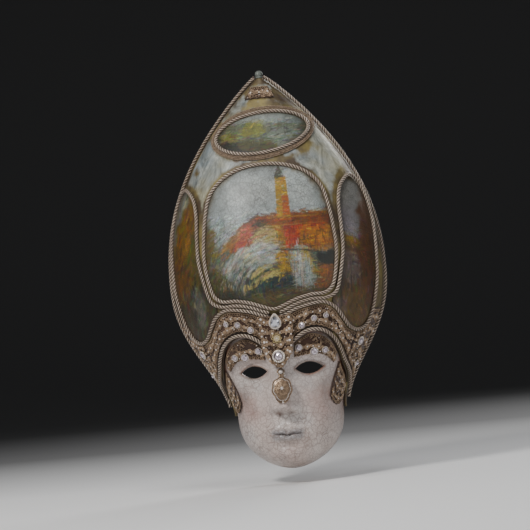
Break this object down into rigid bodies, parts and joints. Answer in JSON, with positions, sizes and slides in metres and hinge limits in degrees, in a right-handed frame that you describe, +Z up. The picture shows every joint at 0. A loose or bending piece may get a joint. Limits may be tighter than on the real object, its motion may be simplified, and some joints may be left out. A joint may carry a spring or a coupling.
{
  "type": "venetian masquerade mask",
  "caption": "Full-face masquerade mask with a tall pointed headdress, cord-framed painted panels, lace, jewels, tie tabs and a wall hanger.",
  "frame": {"origin": "middle of the rim plane at the height of the eyes, where the wearer's face enters the mask", "axes": "+Z up to the tip, -Y the way the mask looks, +Y towards the wearer, +X the viewer's right"},
  "size_m": [0.2516, 0.108, 0.46],
  "materials": {
    "face": "off-white crackled gesso, satin",
    "crown": "papier-mache, brushed pale silver-grey paint with brown patina",
    "panel": "painted card with crackle varnish",
    "cord": "twisted beige and silver cord, aged",
    "braid": "flat brown-gold braid",
    "lace": "stiffened brown-gold lace",
    "setting": "old gold with pearled rim",
    "crystal": "cut crystal",
    "wood": "bare pine batten",
    "steel": "dulled steel",
    "ring": "brass wire",
    "leather": "brown leather",
    "pad": "dark felt-faced foam"
  },
  "bodies": {
    "mask": {"face_shell": "face", "headdress_shell": "crown", "painted_panel_front": "panel", "painted_panel_left": "panel", "painted_panel_right": "panel", "painted_medallion_top": "panel", "cord_panel_front": "cord", "cord_panel_left": "cord", "cord_panel_right": "cord", "cord_medallion_top": "cord", "braid_medallion_top": "braid", "edge_cord_left": "cord", "edge_cord_right": "cord", "brow_cord_left": "cord", "brow_cord_right": "cord", "crown_lace_left": "lace", "crown_lace_right": "lace", "centre_lace": "lace", "temple_lace_left": "lace", "temple_lace_right": "lace", "brow_lace_left": "lace", "brow_lace_right": "lace", "cheek_lappet_left": "lace", "cheek_lappet_right": "lace", "nose_drop": "lace", "teardrop_setting": "setting", "teardrop_crystal": "crystal", "centre_rosette": "lace", "forehead_setting": "setting", "forehead_crystal": "crystal", "temple_settings": "setting", "temple_crystals": "crystal", "stone_cups": "setting", "stones": "crystal", "tip_scroll": "lace", "tip_finial": "braid", "hanging_batten": "wood", "hanger_strap": "steel", "hanger_screws": "steel", "tie_tab_left": "leather", "tie_tab_right": "leather", "tie_eyelet_left": "ring", "tie_eyelet_right": "ring", "forehead_pad": "pad", "cheek_pad_left": "pad", "cheek_pad_right": "pad"},
    "ring": {"hanger_ring": "ring"}
  },
  "joints": [
    {"name": "ring_pivot", "type": "hinge", "parent": "mask", "child": "ring", "pos_m": [0, -0.00328, 0.18601], "axis": [1, 0, 0], "range_deg": [0, 175]}
  ]
}
